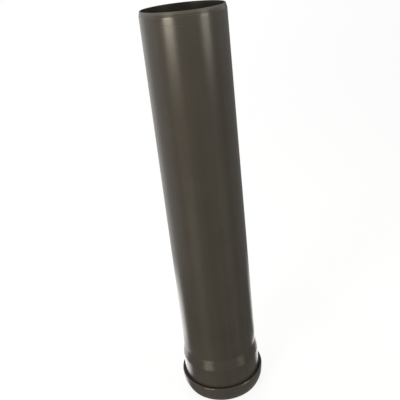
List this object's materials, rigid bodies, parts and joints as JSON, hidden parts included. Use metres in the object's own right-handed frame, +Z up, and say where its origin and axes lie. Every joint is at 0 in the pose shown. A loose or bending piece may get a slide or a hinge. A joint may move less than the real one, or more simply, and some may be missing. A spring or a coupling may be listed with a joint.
{
  "type": "plastic drain pipe",
  "caption": "Straight length of push-fit drain pipe with a bevelled plain spigot at one end and a belled socket with a rubber seal ring at the other.",
  "frame": {"origin": "centre of the socket's mouth, on the floor that the pipe stands on", "axes": "+Z up along the pipe's axis, from the socket's mouth towards the spigot; +X to the right and +Y away from the viewer of the picture"},
  "size_m": [0.1254, 0.1254, 0.572],
  "materials": {
    "pipe_plastic": "satin grey-brown",
    "seal_rubber": "smooth black"
  },
  "bodies": {
    "root": {"pipe": "pipe_plastic", "seal_ring": "seal_rubber"}
  },
  "joints": []
}
